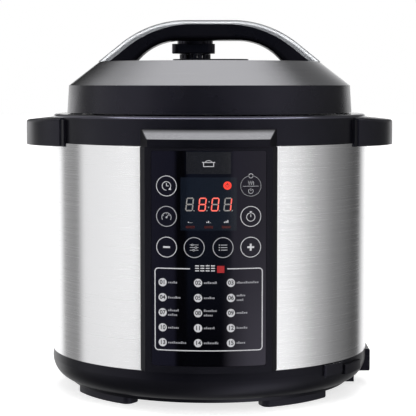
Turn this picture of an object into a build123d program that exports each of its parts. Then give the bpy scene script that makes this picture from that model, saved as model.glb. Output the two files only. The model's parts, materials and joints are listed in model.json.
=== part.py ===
from build123d import *
import math
import os

# Electric multi-function pressure cooker, in millimetres.
#
# The origin is on the floor at the body's vertical axis. The control panel faces -Y, the user's
# right is +X and +Z is up. Azimuths are counted from the front (-Y), positive towards +X.

os.makedirs("parts", exist_ok=True)

# ---------------------------------------------------------------- driving dimensions
SHELL_R = 145.0            # outside of the brushed steel drum
SHELL_WALL = 0.8
SHELL_LOW = 35.5           # drum's bottom edge
SHELL_TOP = 225.3          # drum's top edge, where the collar starts

BASE_LOW = 6.2             # underside of the base bowl
BASE_OPEN_R = 104.0        # round service opening under the base
BASE_WALL = 3.0
BASE_ARC_START = (145.2, 28.0)
BASE_ARC_MID = (142.0, 17.6)
BASE_ARC_END = (133.3, 10.1)
BASE_RIDGE = (130.4, 10.8)
BASE_RIM_R = 128.2

FOOT_R = (110.0, 128.0)
FOOT_ROUND = 6.0
FOOT_SPANS = {             # azimuths of each foot's two ends
    "foot_front_left": (-68.3, -33),
    "foot_front_right": (22, 56),
    "foot_rear_left": (-158, -127),
    "foot_rear_right": (115, 146),
}

COLLAR_R = 143.5
COLLAR_TOP = 250.5
COLLAR_WALL = 3.0
COLLAR_ROUND = 2.8
MOUTH_R = 127.8            # opening in the collar that the lid drops through

LID_GAP = 1.0              # shadow line between collar and lid
SKIRT_R_LOW = 130.7
SKIRT_R_TOP = 129.1
SKIRT_TOP = 276.1
SKIRT_WALL = 3.0
LID_TOP = 297.7
LID_TOP_R = 101.1
TRIM_WALL = 1.2            # metal trim over the lid's shoulder

HANDLE_TOP = 335.3         # arch over the lid
HANDLE_HALF_DEPTH = 20.0
HANDLE_SLOPE = 38.6        # degrees, outer ends of the arch
HANDLE_ROUND = 95.0
GRIP_TOP = 317.2           # underside of the arch
GRIP_FOOT_X = 67.4         # where the underside meets the lid
GRIP_SLOPE = 45.7
GRIP_ROUND = 52.0
GRIP_EDGE = 4.0
INLAY_THICK = 3.9          # silver strip along the arch
INLAY_EDGE = 3.5
INLAY_END_X = 91.1

SIDE_REACH = 168.5         # outer face of the side handles
SIDE_LOW = 222.4
SIDE_TOP_ROOT = 247.6
SIDE_TOP_END = 244.8
SIDE_FRONT = ((132.3, 65.0), (156.5, 38.0), (SIDE_REACH, 5.0))   # curve of the grip's front, in plan
FLANGE_TOP = 246.0
FLANGE_R = 146.3           # flange that carries the grip round the collar
FLANGE_SPAN = 29           # degrees to either side

PANEL_R = 150.0            # face of the control panel's bezel
LENS_R = 149.6
LENS_THICK = 2.1
LENS_HALF = 48.0
LENS_LOW = 41.7
LENS_TOP = 222.0
LENS_CORNER = 2.0
BEZEL_HALF_FACE = 53.5
BEZEL_HALF_ROOT = 57.7
BEZEL_LOW = 35.6
BEZEL_CORNER = 1.2
WINDOW_HALF = 45.5         # opening through the bezel behind the lens
WINDOW_LOW = 45.5
WINDOW_TOP = 218.5

VISOR_R = 151.4
VISOR_EDGE = 231.5         # lower edge of the silver slope
VISOR_TOP = 239.4
VISOR_TOP_R = 145.4
VISOR_HALF_FACE = 51.2
VISOR_HALF_ROOT = 57.2

POT_R = 115.5
POT_WALL = 1.5
POT_LOW = 45.0
POT_RIM_R = 120.5
LINER_R = 118.2
LINER_WALL = 1.0
LINER_LOW = 28.0
LINER_TOP = 228.0
PLATE_TOP = 44.6           # top of the heating plate, just under the pot
PLATE_LOW = 32.0
PLATE_R = 95.0

RING_WALL_R = (128.0, 130.0)   # bayonet ring
TAB_R = 122.0
TAB_Z = (243.5, 245.5)
TAB_COUNT = 6
TAB_SPAN = 28
LUG_R = 126.5
LUG_SPAN = 24
PAN_R = 117.0              # inner pressure lid
PAN_Z = (240.0, 250.0)
PAN_WALL = 2.0

VALVE_AT = (-13.8, 48.0)
VALVE_PLATE_TOP = 300.9
FLOAT_AT = (22.0, 48.0)
PIPE_R = 6.0
FLOAT_R = 3.0
RUNNING_GAP = 0.05

BUTTON_R = 8.7
BUTTON_HOLE_R = 9.0
COLUMN_X = 35.1
MIDDLE_X = 12.0
ROW_TOP = 192.9
ROW_MID = 167.5
ROW_LOW = 141.8
BUTTONS = {
    "button_delay": (-COLUMN_X, ROW_TOP),
    "button_pressure": (-COLUMN_X, ROW_MID),
    "button_minus": (-COLUMN_X, ROW_LOW),
    "button_manual": (-MIDDLE_X, ROW_LOW),
    "button_menu": (MIDDLE_X, ROW_LOW),
    "button_plus": (COLUMN_X, ROW_LOW),
    "button_timer": (COLUMN_X, ROW_MID),
    "button_power": (COLUMN_X, ROW_TOP),
}
BOARD_FACE_Y = -137.6
SWITCH_TOP_Y = -138.8
STEM_TIP_Y = -139.6
STEM_R = 2.5

POD_FACE_X = 148.6         # outer face of the power inlet's housing
POD_HALF = 15.4
POD_Z = (12.8, 33.2)
POD_SEAM = 0.6             # parting groove round the housing
POD_SEAM_Z = 26.4
LEDGE_R = 148.0
LEDGE_Z = (23.0, 31.4)
LEDGE_SPAN = (54, 67)
PAD_R = 147.4              # raised pad at the ledge's front end
PAD_Z = (25.0, 34.8)
PAD_SPAN = (43, 53)
SOCKET_HALF_WIDTH = 12.4
SOCKET_Z = (14.6, 31.4)
SOCKET_DEPTH = 16.0

CUP_HALF = 30.0            # condensate cup at the back
CUP_Y = (146.6, 154.4)
CUP_Z = (150.0, 196.0)


# ---------------------------------------------------------------- small helpers
BOTTOM = (Align.CENTER, Align.CENTER, Align.MIN)
FAR = 400.0


def drum(radius, low, top):
    """A solid cylinder on the axis between two heights."""
    return Pos(0, 0, low) * Cylinder(radius, top - low, align=BOTTOM)


def tube(r_out, r_in, low, top):
    """A ring of rectangular section on the axis."""
    return drum(r_out, low, top) - drum(r_in, low - 1, top + 1)


def spun(*points):
    """The solid of a closed (radius, height) outline turned about the axis."""
    return revolve(Plane.XZ * make_face(Polyline(*points, close=True)), Axis.Z)


def spun_edges(edges):
    """As spun, from a closed loop of edges."""
    return revolve(Plane.XZ * make_face(edges), Axis.Z)


def block(x, y, z):
    """A box from its three (low, high) pairs."""
    size = [high - low for low, high in (x, y, z)]
    return Pos(x[0], y[0], z[0]) * Box(*size, align=(Align.MIN, Align.MIN, Align.MIN))


def toward(azimuth, radius):
    """The plan point at an azimuth from the front."""
    angle = math.radians(azimuth)
    return (radius * math.sin(angle), -radius * math.cos(angle))


def wedge(start, end, low, top):
    """A pie slice on the axis between two azimuths less than 120 degrees apart."""
    middle = (start + end) / 2
    outline = Polyline((0, 0), toward(start, FAR), toward(middle, 2 * FAR), toward(end, FAR), close=True)
    return Pos(0, 0, low) * extrude(make_face(outline), top - low)


def sector(r_in, r_out, low, top, start, end):
    """A part of a ring between two azimuths."""
    return tube(r_out, r_in, low, top) & wedge(start, end, low - 1, top + 1)


def rod_y(radius, x, z, y_low, y_high):
    """A cylinder along Y."""
    return Pos(x, y_low, z) * Rot(-90, 0, 0) * Cylinder(radius, y_high - y_low, align=BOTTOM)


def post(radius, x, y, low, top):
    """An upright cylinder."""
    return Pos(x, y, low) * Cylinder(radius, top - low, align=BOTTOM)


def prism(points, low, top):
    """An upright prism on a plan outline."""
    return Pos(0, 0, low) * extrude(make_face(Polyline(*points, close=True)), top - low)


# ---------------------------------------------------------------- base and feet
def base_solid():
    """The base bowl as if it were filled."""
    side = Line((SHELL_R, SHELL_LOW), BASE_ARC_START)
    curve = ThreePointArc(BASE_ARC_START, BASE_ARC_MID, BASE_ARC_END)
    under = Polyline(BASE_ARC_END, BASE_RIDGE, (BASE_RIM_R, BASE_LOW), (0, BASE_LOW), (0, SHELL_LOW), (SHELL_R, SHELL_LOW))
    return spun_edges([side, curve, under])


def base_hollow():
    """The space inside the base bowl."""
    wall_r = SHELL_R - BASE_WALL
    side = Line((wall_r, SHELL_LOW + 1), (wall_r, 28.0))
    curve = ThreePointArc((wall_r, 28.0), (139.1, 19.4), (131.0, 13.0))
    floor = Polyline((131.0, 13.0), (127.0, BASE_LOW + BASE_WALL), (0, BASE_LOW + BASE_WALL))
    close = Polyline((0, BASE_LOW + BASE_WALL), (0, SHELL_LOW + 1), (wall_r, SHELL_LOW + 1))
    return spun_edges([side, curve, floor, close])


def pod_room():
    """The room that the inlet's housing takes out of the bowl's wall."""
    return block((128.0, POD_FACE_X + 1), (-POD_HALF, POD_HALF), (POD_Z[0], SHELL_LOW + 1))


def base_bowl():
    bowl = base_solid() - base_hollow() - drum(BASE_OPEN_R, BASE_LOW - 1, 20)
    lip = tube(144.1, SHELL_R - BASE_WALL, SHELL_LOW, SHELL_LOW + 5)
    return bowl + lip - pod_room() - block((120, 160), (-POD_HALF, POD_HALF), (SHELL_LOW - 1, SHELL_LOW + 6))


def bottom_cover():
    """The plate that closes the service opening, with rows of vent slots."""
    plate = drum(BASE_OPEN_R - 0.4, BASE_LOW + 0.8, BASE_LOW + BASE_WALL)
    rim = tube(BASE_OPEN_R + 5, BASE_OPEN_R - 4, BASE_LOW + BASE_WALL, BASE_LOW + BASE_WALL + 1.6)
    plate += rim
    for row in range(-3, 4):
        for side in (-1, 1):
            x_near = side * 12.0
            x_far = side * (62.0 - abs(row) * 6.0)
            low, high = sorted((x_near, x_far))
            plate -= block((low, high), (row * 11.0 - 1.8, row * 11.0 + 1.8), (BASE_LOW - 1, 12))
    for x, y in cover_screw_places():
        plate -= post(2.2, x, y, BASE_LOW - 1, 12)
    return plate


def cover_screw_places():
    return [toward(azimuth, 92.0) for azimuth in (0, 90, 180, 270)]


def cover_screws():
    screws = Part()
    for x, y in cover_screw_places():
        screws += post(4.0, x, y, BASE_LOW - 0.9, BASE_LOW + 0.8) + post(2.1, x, y, BASE_LOW + 0.8, 16)
        screws -= block((x - 2.6, x + 2.6), (y - 0.5, y + 0.5), (BASE_LOW - 1, BASE_LOW))
        screws -= block((x - 0.5, x + 0.5), (y - 2.6, y + 2.6), (BASE_LOW - 1, BASE_LOW))
    return screws


def foot(start, end):
    """A pad with rounded ends and a softened tread."""
    pad = sector(FOOT_R[0], FOOT_R[1], 0, BASE_LOW, start, end)
    pad = fillet(pad.edges().filter_by(Axis.Z), FOOT_ROUND)
    return fillet(pad.faces().sort_by(Axis.Z)[0].edges(), 1.2)


# ---------------------------------------------------------------- body
def outer_shell():
    shell = tube(SHELL_R, SHELL_R - SHELL_WALL, SHELL_LOW, SHELL_TOP)
    shell -= block((-45, 45), (-FAR, -100), (46, 218))
    return shell


def top_collar():
    """The black plastic ring that caps the drum and frames the mouth."""
    inner = COLLAR_R - COLLAR_WALL
    under = COLLAR_TOP - COLLAR_WALL
    shoulder = COLLAR_TOP - COLLAR_ROUND
    wall = Polyline((COLLAR_R - COLLAR_ROUND, COLLAR_TOP), (MOUTH_R, COLLAR_TOP), (MOUTH_R, under), (inner, under))
    down = Polyline((inner, under), (inner, SHELL_TOP), (COLLAR_R, SHELL_TOP), (COLLAR_R, shoulder))
    lean = COLLAR_ROUND * (1 - math.sqrt(0.5))
    round_edge = ThreePointArc((COLLAR_R, shoulder), (COLLAR_R - lean, COLLAR_TOP - lean), (COLLAR_R - COLLAR_ROUND, COLLAR_TOP))
    ring = spun_edges([wall, down, round_edge])
    skirt = tube(SHELL_R - SHELL_WALL - 0.1, inner, SHELL_TOP - 6, SHELL_TOP)
    return ring + (skirt - block((-50, 50), (-FAR, -100), (SHELL_TOP - 7, SHELL_TOP)))


def side_handle(side):
    """A lug grip on a flange round the collar: curved in front, crowned above, hollow for the fingers."""
    near, middle, end = ((side * x, y) for x, y in SIDE_FRONT)
    front = ThreePointArc((near[0], -near[1]), (middle[0], -middle[1]), (end[0], -end[1]))
    tip = Line((end[0], -end[1]), end)
    back = ThreePointArc(end, middle, near)
    root = Polyline(near, (120 * side, near[1]), (120 * side, -near[1]), (near[0], -near[1]))
    lug = Pos(0, 0, SIDE_LOW) * extrude(make_face([front, tip, back, root]), SIDE_TOP_ROOT + 3 - SIDE_LOW)
    x_far = (SIDE_REACH + 1) * side
    slope = Polyline((136 * side, SIDE_TOP_ROOT), (x_far, SIDE_TOP_END), (x_far, 260), (110 * side, 260),
                     (110 * side, SIDE_TOP_ROOT), close=True)
    lug -= Pos(0, 80, 0) * extrude(Plane.XZ * make_face(slope), 160)
    lug = fillet(lug.edges().filter_by(lambda e: e.center().Z > 240 and abs(e.center().X) > 145), 2.6)
    finger = block(tuple(sorted((149.5 * side, 161.0 * side))), (-27, 27), (SIDE_LOW - 1, 239.0))
    finger = fillet(finger.edges().filter_by(Axis.Z), 5.0)
    turn = 90 * side
    span = (turn - FLANGE_SPAN, turn + FLANGE_SPAN)
    flange = sector(130.0, FLANGE_R, SIDE_LOW, FLANGE_TOP, *span)
    handle = lug + flange - finger - drum(COLLAR_R + 0.02, SHELL_TOP, 300)
    return handle - drum(SHELL_R + 0.02, 0, SHELL_TOP)


def liner():
    """The heat shield drum that the pot stands in, with the flange that carries it."""
    inner = LINER_R - LINER_WALL
    floor_top = LINER_LOW + LINER_WALL
    flange = LINER_TOP - LINER_WALL
    return spun((40, LINER_LOW), (LINER_R, LINER_LOW), (LINER_R, flange), (140.0, flange), (140.0, LINER_TOP),
                (inner, LINER_TOP), (inner, floor_top), (40, floor_top))


def locking_ring():
    """The fixed bayonet ring: a wall with inward tabs."""
    ring = tube(RING_WALL_R[1], RING_WALL_R[0], LINER_TOP, 247.4)
    ring += tube(138.0, RING_WALL_R[1] - 0.5, LINER_TOP, LINER_TOP + 1.5)
    for i in range(TAB_COUNT):
        middle = 30 + i * 360 / TAB_COUNT
        ring += sector(TAB_R, RING_WALL_R[0] + 0.5, TAB_Z[0], TAB_Z[1], middle - TAB_SPAN / 2, middle + TAB_SPAN / 2)
    return ring


# ---------------------------------------------------------------- heating and electrics
def heating_plate():
    plate = drum(PLATE_R, PLATE_LOW + 4, PLATE_TOP) - drum(16.0, 0, 60)
    plate += tube(78.0, 60.0, PLATE_LOW, PLATE_LOW + 4)
    return plate


def heater_posts():
    posts = Part()
    for azimuth in (30, 150, 270):
        x, y = toward(azimuth, 88.0)
        posts += post(3.0, x, y, LINER_LOW + LINER_WALL, PLATE_LOW + 4)
    return posts


def sensor_cup():
    """The guide under the temperature sensor, hung from the plate's hole."""
    cup = tube(15.9, 13.9, 24.0, 38.0)
    return cup + drum(15.9, 22.5, 24.0)


def sensor_button():
    head = drum(13.5, 33.5, PLATE_TOP)
    return chamfer(head.faces().sort_by(Axis.Z)[-1].edges(), 0.8)


def sensor_spring():
    """Four turns of flat wire between the cup's floor and the sensor."""
    coil = Helix(pitch=2.0, height=8.0, radius=9.0)
    wire = sweep(Plane(origin=coil @ 0, z_dir=coil % 0) * Rectangle(1.0, 0.8), path=coil)
    return Pos(0, 0, 24.75) * wire


def power_board():
    return block((-62, 62), (-60, -8), (12.0, 13.6)) + block((-62, -56), (-60, -54), (9.3, 12.0)) + block((56, 62), (-60, -54), (9.3, 12.0))


def transformer():
    core = block((-52, -18), (-52, -22), (13.6, 26.0))
    return core - block((-48, -44), (-60, -10), (13.6, 23.0)) - block((-26, -22), (-60, -10), (13.6, 23.0))


def relay():
    return fillet(block((10, 38), (-54, -38), (13.6, 26.0)).edges().filter_by(Axis.Z), 1.0)


def inlet_housing():
    """The ledge on the bowl and the box that holds the power inlet."""
    box = block((129.0, POD_FACE_X), (-POD_HALF, POD_HALF), POD_Z)
    box = fillet(box.edges().filter_by(Axis.Y).sort_by(Axis.X)[-2:], 1.6)
    box -= block((140, POD_FACE_X + 1), (-POD_HALF - 1, -POD_HALF + POD_SEAM), (POD_SEAM_Z, POD_SEAM_Z + POD_SEAM))
    box -= block((120, POD_FACE_X - SOCKET_DEPTH - 3.0), (-POD_HALF + 2, POD_HALF - 2), (POD_Z[0] + 2, 40))
    box -= drum(SHELL_R + 0.02, SHELL_LOW, 60)
    ledge = sector(140.0, LEDGE_R, LEDGE_Z[0], LEDGE_Z[1], *LEDGE_SPAN)
    ledge = fillet(ledge.edges().filter_by(Axis.Z).sort_by(Axis.X)[-1:], 1.5)
    pad = sector(140.0, PAD_R, PAD_Z[0], PAD_Z[1], *PAD_SPAN)
    pad = fillet(pad.edges().filter_by(Axis.Z), 1.8)
    join = sector(140.0, PAD_R - 1.2, LEDGE_Z[0] + 3, LEDGE_Z[1], PAD_SPAN[1] - 1, LEDGE_SPAN[0] + 1)
    step = block((118.0, 134.0), (-POD_HALF, -4.0), (2.5, POD_Z[0] + 2))
    outside = (ledge + pad + join + step) - base_solid() - drum(SHELL_R + 0.02, SHELL_LOW, 60)
    return (box + outside) - socket_cavity(-1.0)


def socket_cavity(grow):
    """The space of a standard three-pin inlet; a positive grow makes it smaller."""
    half = SOCKET_HALF_WIDTH - grow
    low, top = SOCKET_Z[0] + grow, SOCKET_Z[1] - grow
    cut = 5.0
    outline = Polyline((-half, low), (half, low), (half, top - cut), (half - cut, top), (-half + cut, top), (-half, top - cut), close=True)
    face = Plane(origin=(POD_FACE_X + 1, 0, 0), x_dir=(0, 1, 0), z_dir=(1, 0, 0)) * make_face(outline)
    return extrude(face, -(SOCKET_DEPTH + 1))


def inlet_socket():
    """The inlet's own shell, with its floor."""
    shell = socket_cavity(-0.9) & block((120, POD_FACE_X - 0.3), (-20, 20), (0, 40))
    shell -= socket_cavity(0) & block((POD_FACE_X - SOCKET_DEPTH + 2, 200), (-20, 20), (0, 40))
    return shell


def inlet_pins():
    pins = Part()
    floor = POD_FACE_X - SOCKET_DEPTH + 2
    middle = sum(SOCKET_Z) / 2
    for y, z in ((-7.0, middle - 2), (7.0, middle - 2), (0, middle + 2)):
        pins += block((floor, floor + 11), (y - 1.0, y + 1.0), (z - 2.2, z + 2.2))
    return pins


# ---------------------------------------------------------------- control panel
def panel_plan(face_half, root_half, face_r, root_r):
    """Plan outline of a front block whose sides splay back to the body."""
    y_face = -math.sqrt(face_r**2 - face_half**2)
    y_root = -math.sqrt(root_r**2 - root_half**2)
    return [(-root_half, -100), (-root_half, y_root), (-face_half, y_face), (-face_half, -200),
            (face_half, -200), (face_half, y_face), (root_half, y_root), (root_half, -100)]


def rounded_pane(half, low, top, corner):
    """A block along Y with rounded corners in front view."""
    pane = block((-half, half), (-200, -100), (low, top))
    return fillet(pane.edges().filter_by(Axis.Y), corner)


def panel_bezel():
    """The frame round the lens, with soft corners and a splayed side."""
    plan = panel_plan(BEZEL_HALF_FACE, BEZEL_HALF_ROOT, PANEL_R, SHELL_R)
    frame = prism(plan, BEZEL_LOW, SHELL_TOP) & tube(PANEL_R, SHELL_R + 0.02, BEZEL_LOW, SHELL_TOP)
    frame &= rounded_pane(BEZEL_HALF_ROOT, BEZEL_LOW, SHELL_TOP, BEZEL_CORNER)
    frame -= block((-WINDOW_HALF, WINDOW_HALF), (-200, -100), (WINDOW_LOW, WINDOW_TOP))
    recess = tube(PANEL_R + 5, LENS_R - LENS_THICK, LENS_LOW - 0.2, LENS_TOP + 0.2)
    return frame - (recess & rounded_pane(LENS_HALF + 0.2, LENS_LOW - 0.2, LENS_TOP + 0.2, LENS_CORNER + 0.2))


def lens_sheet():
    sheet = tube(LENS_R, LENS_R - LENS_THICK + 0.05, LENS_LOW, LENS_TOP)
    return sheet & rounded_pane(LENS_HALF, LENS_LOW, LENS_TOP, LENS_CORNER)


def panel_lens():
    sheet = lens_sheet()
    for x, z in BUTTONS.values():
        sheet -= rod_y(BUTTON_HOLE_R, x, z, -170, -120)
    return sheet


def button(x, z):
    """A round key cut from the lens sheet, with the stem that reaches the switch."""
    cap = lens_sheet() & rod_y(BUTTON_R, x, z, -170, -120)
    back = -math.sqrt((LENS_R - LENS_THICK) ** 2 - x**2)
    return cap + rod_y(STEM_R, x, z, back - 1.0, STEM_TIP_Y)


def control_board():
    return block((-43, 43), (BOARD_FACE_Y, BOARD_FACE_Y + 1.6), (52, 212))


def display_module():
    return block((-23.4, 23.4), (-145.2, BOARD_FACE_Y), (156.0, 200.2))


def key_switches():
    switches = Part()
    for x, z in BUTTONS.values():
        switches += block((x - 3, x + 3), (SWITCH_TOP_Y + 0.3, BOARD_FACE_Y), (z - 3, z + 3))
        switches += rod_y(1.7, x, z, SWITCH_TOP_Y, SWITCH_TOP_Y + 0.4)
    return switches


def visor_room(top_r, edge_r, low):
    outline = [(COLLAR_R + 0.02, low), (edge_r, low), (edge_r, VISOR_EDGE), (top_r, VISOR_TOP), (COLLAR_R + 0.02, VISOR_TOP)]
    plan = panel_plan(VISOR_HALF_FACE, VISOR_HALF_ROOT, VISOR_R, COLLAR_R)
    return spun(*outline) & prism(plan, low - 1, VISOR_TOP + 1)


def visor_housing():
    """The black block over the panel, left low on the slope for the silver plate."""
    return visor_room(VISOR_TOP_R, VISOR_R, SHELL_TOP + 0.1) - visor_slab()


def visor_slab():
    """The layer of the silver plate."""
    outline = [(VISOR_R, VISOR_EDGE), (VISOR_TOP_R, VISOR_TOP), (VISOR_TOP_R - 1.2, VISOR_TOP), (VISOR_R - 1.2, VISOR_EDGE)]
    plan = panel_plan(VISOR_HALF_FACE, VISOR_HALF_ROOT, VISOR_R, COLLAR_R)
    return spun(*outline) & prism(plan, SHELL_TOP, VISOR_TOP + 1)


# ---------------------------------------------------------------- pot and sealing ring
def inner_pot():
    inner = POT_R - POT_WALL
    corner = 14.0
    floor = POT_LOW + 2.5
    rim = (LINER_TOP + 0.4, LINER_TOP + 2.4)
    lean = corner * (1 - math.sqrt(0.5))
    out_corner = ThreePointArc((POT_R - corner, POT_LOW), (POT_R - lean, POT_LOW + lean), (POT_R, POT_LOW + corner))
    outside = Polyline((POT_R, POT_LOW + corner), (POT_R, rim[0]), (POT_RIM_R, rim[0]), (POT_RIM_R, rim[1]), (inner, rim[1]))
    down = Line((inner, rim[1]), (inner, floor + corner))
    in_corner = ThreePointArc((inner, floor + corner), (inner - lean, floor + lean), (inner - corner, floor))
    under = Polyline((inner - corner, floor), (0, floor), (0, POT_LOW), (POT_R - corner, POT_LOW))
    return spun_edges([out_corner, outside, down, in_corner, under])


def sealing_ring():
    """Silicone ring with a groove for the rack, a lip inside the pot and a shoulder above it."""
    return spun((106.0, 227.0), (109.5, 225.0), (113.5, 229.0), (113.5, 247.6), (107.0, 247.6), (105.6, 243.0),
                (105.6, 238.6), (109.4, 238.0), (109.4, 233.0), (105.6, 232.4))


# ---------------------------------------------------------------- lid
def lid_skirt():
    low = COLLAR_TOP + LID_GAP
    return spun((SKIRT_R_LOW, low), (SKIRT_R_TOP, SKIRT_TOP), (100.0, LID_TOP - 3.4), (98.0, LID_TOP - 3.4),
                (98.0, LID_TOP - 6.0), (SKIRT_R_TOP - SKIRT_WALL, SKIRT_TOP - 2.6), (SKIRT_R_LOW - SKIRT_WALL, low)) - trim_room()


def trim_room():
    """The layer over the shoulder that the metal trim takes."""
    return spun((SKIRT_R_TOP + 0.6, SKIRT_TOP + 0.02), (LID_TOP_R, LID_TOP + 0.5), (80, LID_TOP + 0.5), (80, LID_TOP - TRIM_WALL),
                (LID_TOP_R - 0.6, LID_TOP - TRIM_WALL), (SKIRT_R_TOP - 2.0, SKIRT_TOP + 0.02))


def lid_cone():
    """Brushed metal trim on the lid's shoulder."""
    return spun((SKIRT_R_TOP, SKIRT_TOP + 0.02), (LID_TOP_R, LID_TOP), (LID_TOP_R - 3.0, LID_TOP),
                (LID_TOP_R - 3.0, LID_TOP - TRIM_WALL), (LID_TOP_R - 0.6, LID_TOP - TRIM_WALL), (SKIRT_R_TOP - 2.0, SKIRT_TOP + 0.02))


def lid_top_plate():
    plate = drum(LID_TOP_R - 3.1, LID_TOP - 3.0, LID_TOP)
    plate -= post(PIPE_R + 0.5, *VALVE_AT, 280, 310)
    return plate - post(FLOAT_R + RUNNING_GAP, *FLOAT_AT, 280, 310)


def arch(top, foot_x, slope, radius, low, half_depth):
    """The solid under a flat-topped arch line with rounded shoulders, cut off at a height."""
    rise = top - LID_TOP
    corner_x = foot_x - rise / math.tan(math.radians(slope))
    reach = foot_x + (LID_TOP - low) / math.tan(math.radians(slope))
    face = make_face(Polyline((-reach, low), (-corner_x, top), (corner_x, top), (reach, low), close=True))
    shoulders = face.vertices().sort_by(Axis.Y)[-2:]
    face = fillet(shoulders, radius)
    return Pos(0, half_depth, 0) * extrude(Plane.XZ * face, 2 * half_depth)


def lid_handle():
    """The black arch: its front and back faces are rounded over at the grip."""
    body = arch(HANDLE_TOP - INLAY_THICK, INLAY_END_X, HANDLE_SLOPE, HANDLE_ROUND, LID_TOP, HANDLE_HALF_DEPTH)
    body -= arch(GRIP_TOP, GRIP_FOOT_X, GRIP_SLOPE, GRIP_ROUND, LID_TOP - 5, HANDLE_HALF_DEPTH + 5)
    under = body.edges().filter_by(lambda e: abs(abs(e.center().Y) - HANDLE_HALF_DEPTH) < 0.1 and under_grip(e.center()))
    return fillet(under, GRIP_EDGE)


def under_grip(point):
    """Whether a point lies on the grip's underside rather than on the arch or the lid."""
    return LID_TOP + 2 < point.Z < GRIP_TOP + 0.5 and abs(point.X) < GRIP_FOOT_X


def lid_handle_inlay():
    """The silver strip that runs over the arch and dies into the lid's shoulder."""
    strip = arch(HANDLE_TOP, LID_TOP_R, HANDLE_SLOPE, HANDLE_ROUND, LID_TOP, HANDLE_HALF_DEPTH)
    strip -= arch(HANDLE_TOP - INLAY_THICK, INLAY_END_X, HANDLE_SLOPE, HANDLE_ROUND, LID_TOP - 5, HANDLE_HALF_DEPTH + 5)
    edges = strip.edges().filter_by(lambda e: abs(abs(e.center().Y) - HANDLE_HALF_DEPTH) < 0.1 and over_strip(e.center()))
    return fillet(edges, INLAY_EDGE)


def over_strip(point):
    """Whether a point lies on the strip's outer face."""
    line = HANDLE_TOP - INLAY_THICK / 2
    slope_z = LID_TOP + (LID_TOP_R - INLAY_THICK - abs(point.X)) * math.tan(math.radians(HANDLE_SLOPE))
    return point.Z > min(line, slope_z) and point.Z > LID_TOP + 2


def valve_plate():
    """Thin black escutcheon behind the handle, under both valves."""
    plate = block((-35, 36.9), (27, 69), (LID_TOP, VALVE_PLATE_TOP))
    plate = fillet(plate.edges().filter_by(Axis.Z), 16.0)
    plate -= post(PIPE_R + 0.02, *VALVE_AT, 280, 310)
    return plate - post(FLOAT_R + RUNNING_GAP, *FLOAT_AT, 280, 310)


def valve_collar():
    """The slotted neck that steam leaves through."""
    x, y = VALVE_AT
    neck = post(14.8, x, y, VALVE_PLATE_TOP, 305.4) - post(12.4, x, y, 290, 310)
    for i in range(18):
        slot = Pos(x, y, 0) * Rot(0, 0, i * 20) * block((10, 20), (-0.9, 0.9), (301.8, 304.6))
        neck -= slot
    return neck


def steam_pipe():
    x, y = VALVE_AT
    return post(PIPE_R, x, y, PAN_Z[1], 310.0) - post(3.5, x, y, 230, 320)


def steam_valve():
    """The turning cap over the steam pipe: a domed knob on a broad wing with a long end that points."""
    x, y = VALVE_AT
    body = post(14.8, x, y, 305.7, 315.2)
    wing = block((x - 21.8, x + 18.9), (y - 15.2, y + 15.2), (306.2, 315.2))
    wing = fillet(wing.edges().filter_by(Axis.Z), 7.0)
    wing = fillet(wing.faces().sort_by(Axis.Z)[0].edges(), 0.8)
    knob = post(16.9, x, y, 314.6, 320.8)
    knob = fillet(knob.faces().sort_by(Axis.Z)[-1].edges(), 3.4)
    knob = chamfer(knob.faces().sort_by(Axis.Z)[0].edges(), 0.5)
    cap = body + wing + knob
    for i in range(24):
        groove = Pos(x, y, 0) * Rot(0, 0, i * 15) * block((16.3, 18), (-0.45, 0.45), (315.2, 318.4))
        cap -= groove
    rib = fillet(block((x - 12, x + 12), (y - 2.2, y + 2.2), (319, 323.5)).edges().filter_by(Axis.Z), 2.1)
    return cap + rib - post(PIPE_R + RUNNING_GAP, x, y, 300, 310.5)


def float_valve():
    x, y = FLOAT_AT
    return post(FLOAT_R, x, y, 242.0, LID_TOP + 1.6) + post(5.5, x, y, 239.5, 242.0)


def pressure_lid():
    """The steel pan inside the lid, with bayonet lugs on its edge."""
    pan = drum(PAN_R, *PAN_Z) - drum(PAN_R - PAN_WALL, PAN_Z[0] - 1, PAN_Z[1] - PAN_WALL)
    for i in range(TAB_COUNT):
        middle = i * 360 / TAB_COUNT
        pan += sector(PAN_R - 0.5, LUG_R, PAN_Z[0], PAN_Z[0] + 3, middle - LUG_SPAN / 2, middle + LUG_SPAN / 2)
    pan -= post(3.5, *VALVE_AT, 230, 260)
    return pan - post(FLOAT_R + 0.6, *FLOAT_AT, 230, 260)


def ring_rack():
    """The wire that holds the sealing ring, on six straps under the pan."""
    wire = tube(107.1, 104.9, 234.4, 236.6)
    for i in range(6):
        x, y = toward(15 + i * 60, 104.4)
        strap = Pos(x, y, 235.5) * Rot(0, 0, 15 + i * 60) * Box(8, 1.2, PAN_Z[1] - PAN_WALL - 235.5, align=BOTTOM)
        wire += strap
    return wire


def steam_shield():
    """The perforated cap that keeps food out of the steam pipe."""
    x, y = VALVE_AT
    cap = post(10, x, y, 233, 248) - post(8.8, x, y, 234.2, 249)
    for i in range(8):
        slot = Pos(x, y, 0) * Rot(0, 0, i * 45) * block((6, 12), (-1.2, 1.2), (237, 245))
        cap -= slot
    return cap


def lid_posts():
    """The three posts that join the pan to the cover."""
    posts = Part()
    for azimuth in (0, 120, 240):
        x, y = toward(azimuth, 62.0)
        posts += post(6.0, x, y, PAN_Z[1], LID_TOP - 3)
        posts += Pos(x, y, PAN_Z[0] + 4.0) * extrude(RegularPolygon(5.0, 6), 4.0)
    return posts


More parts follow.
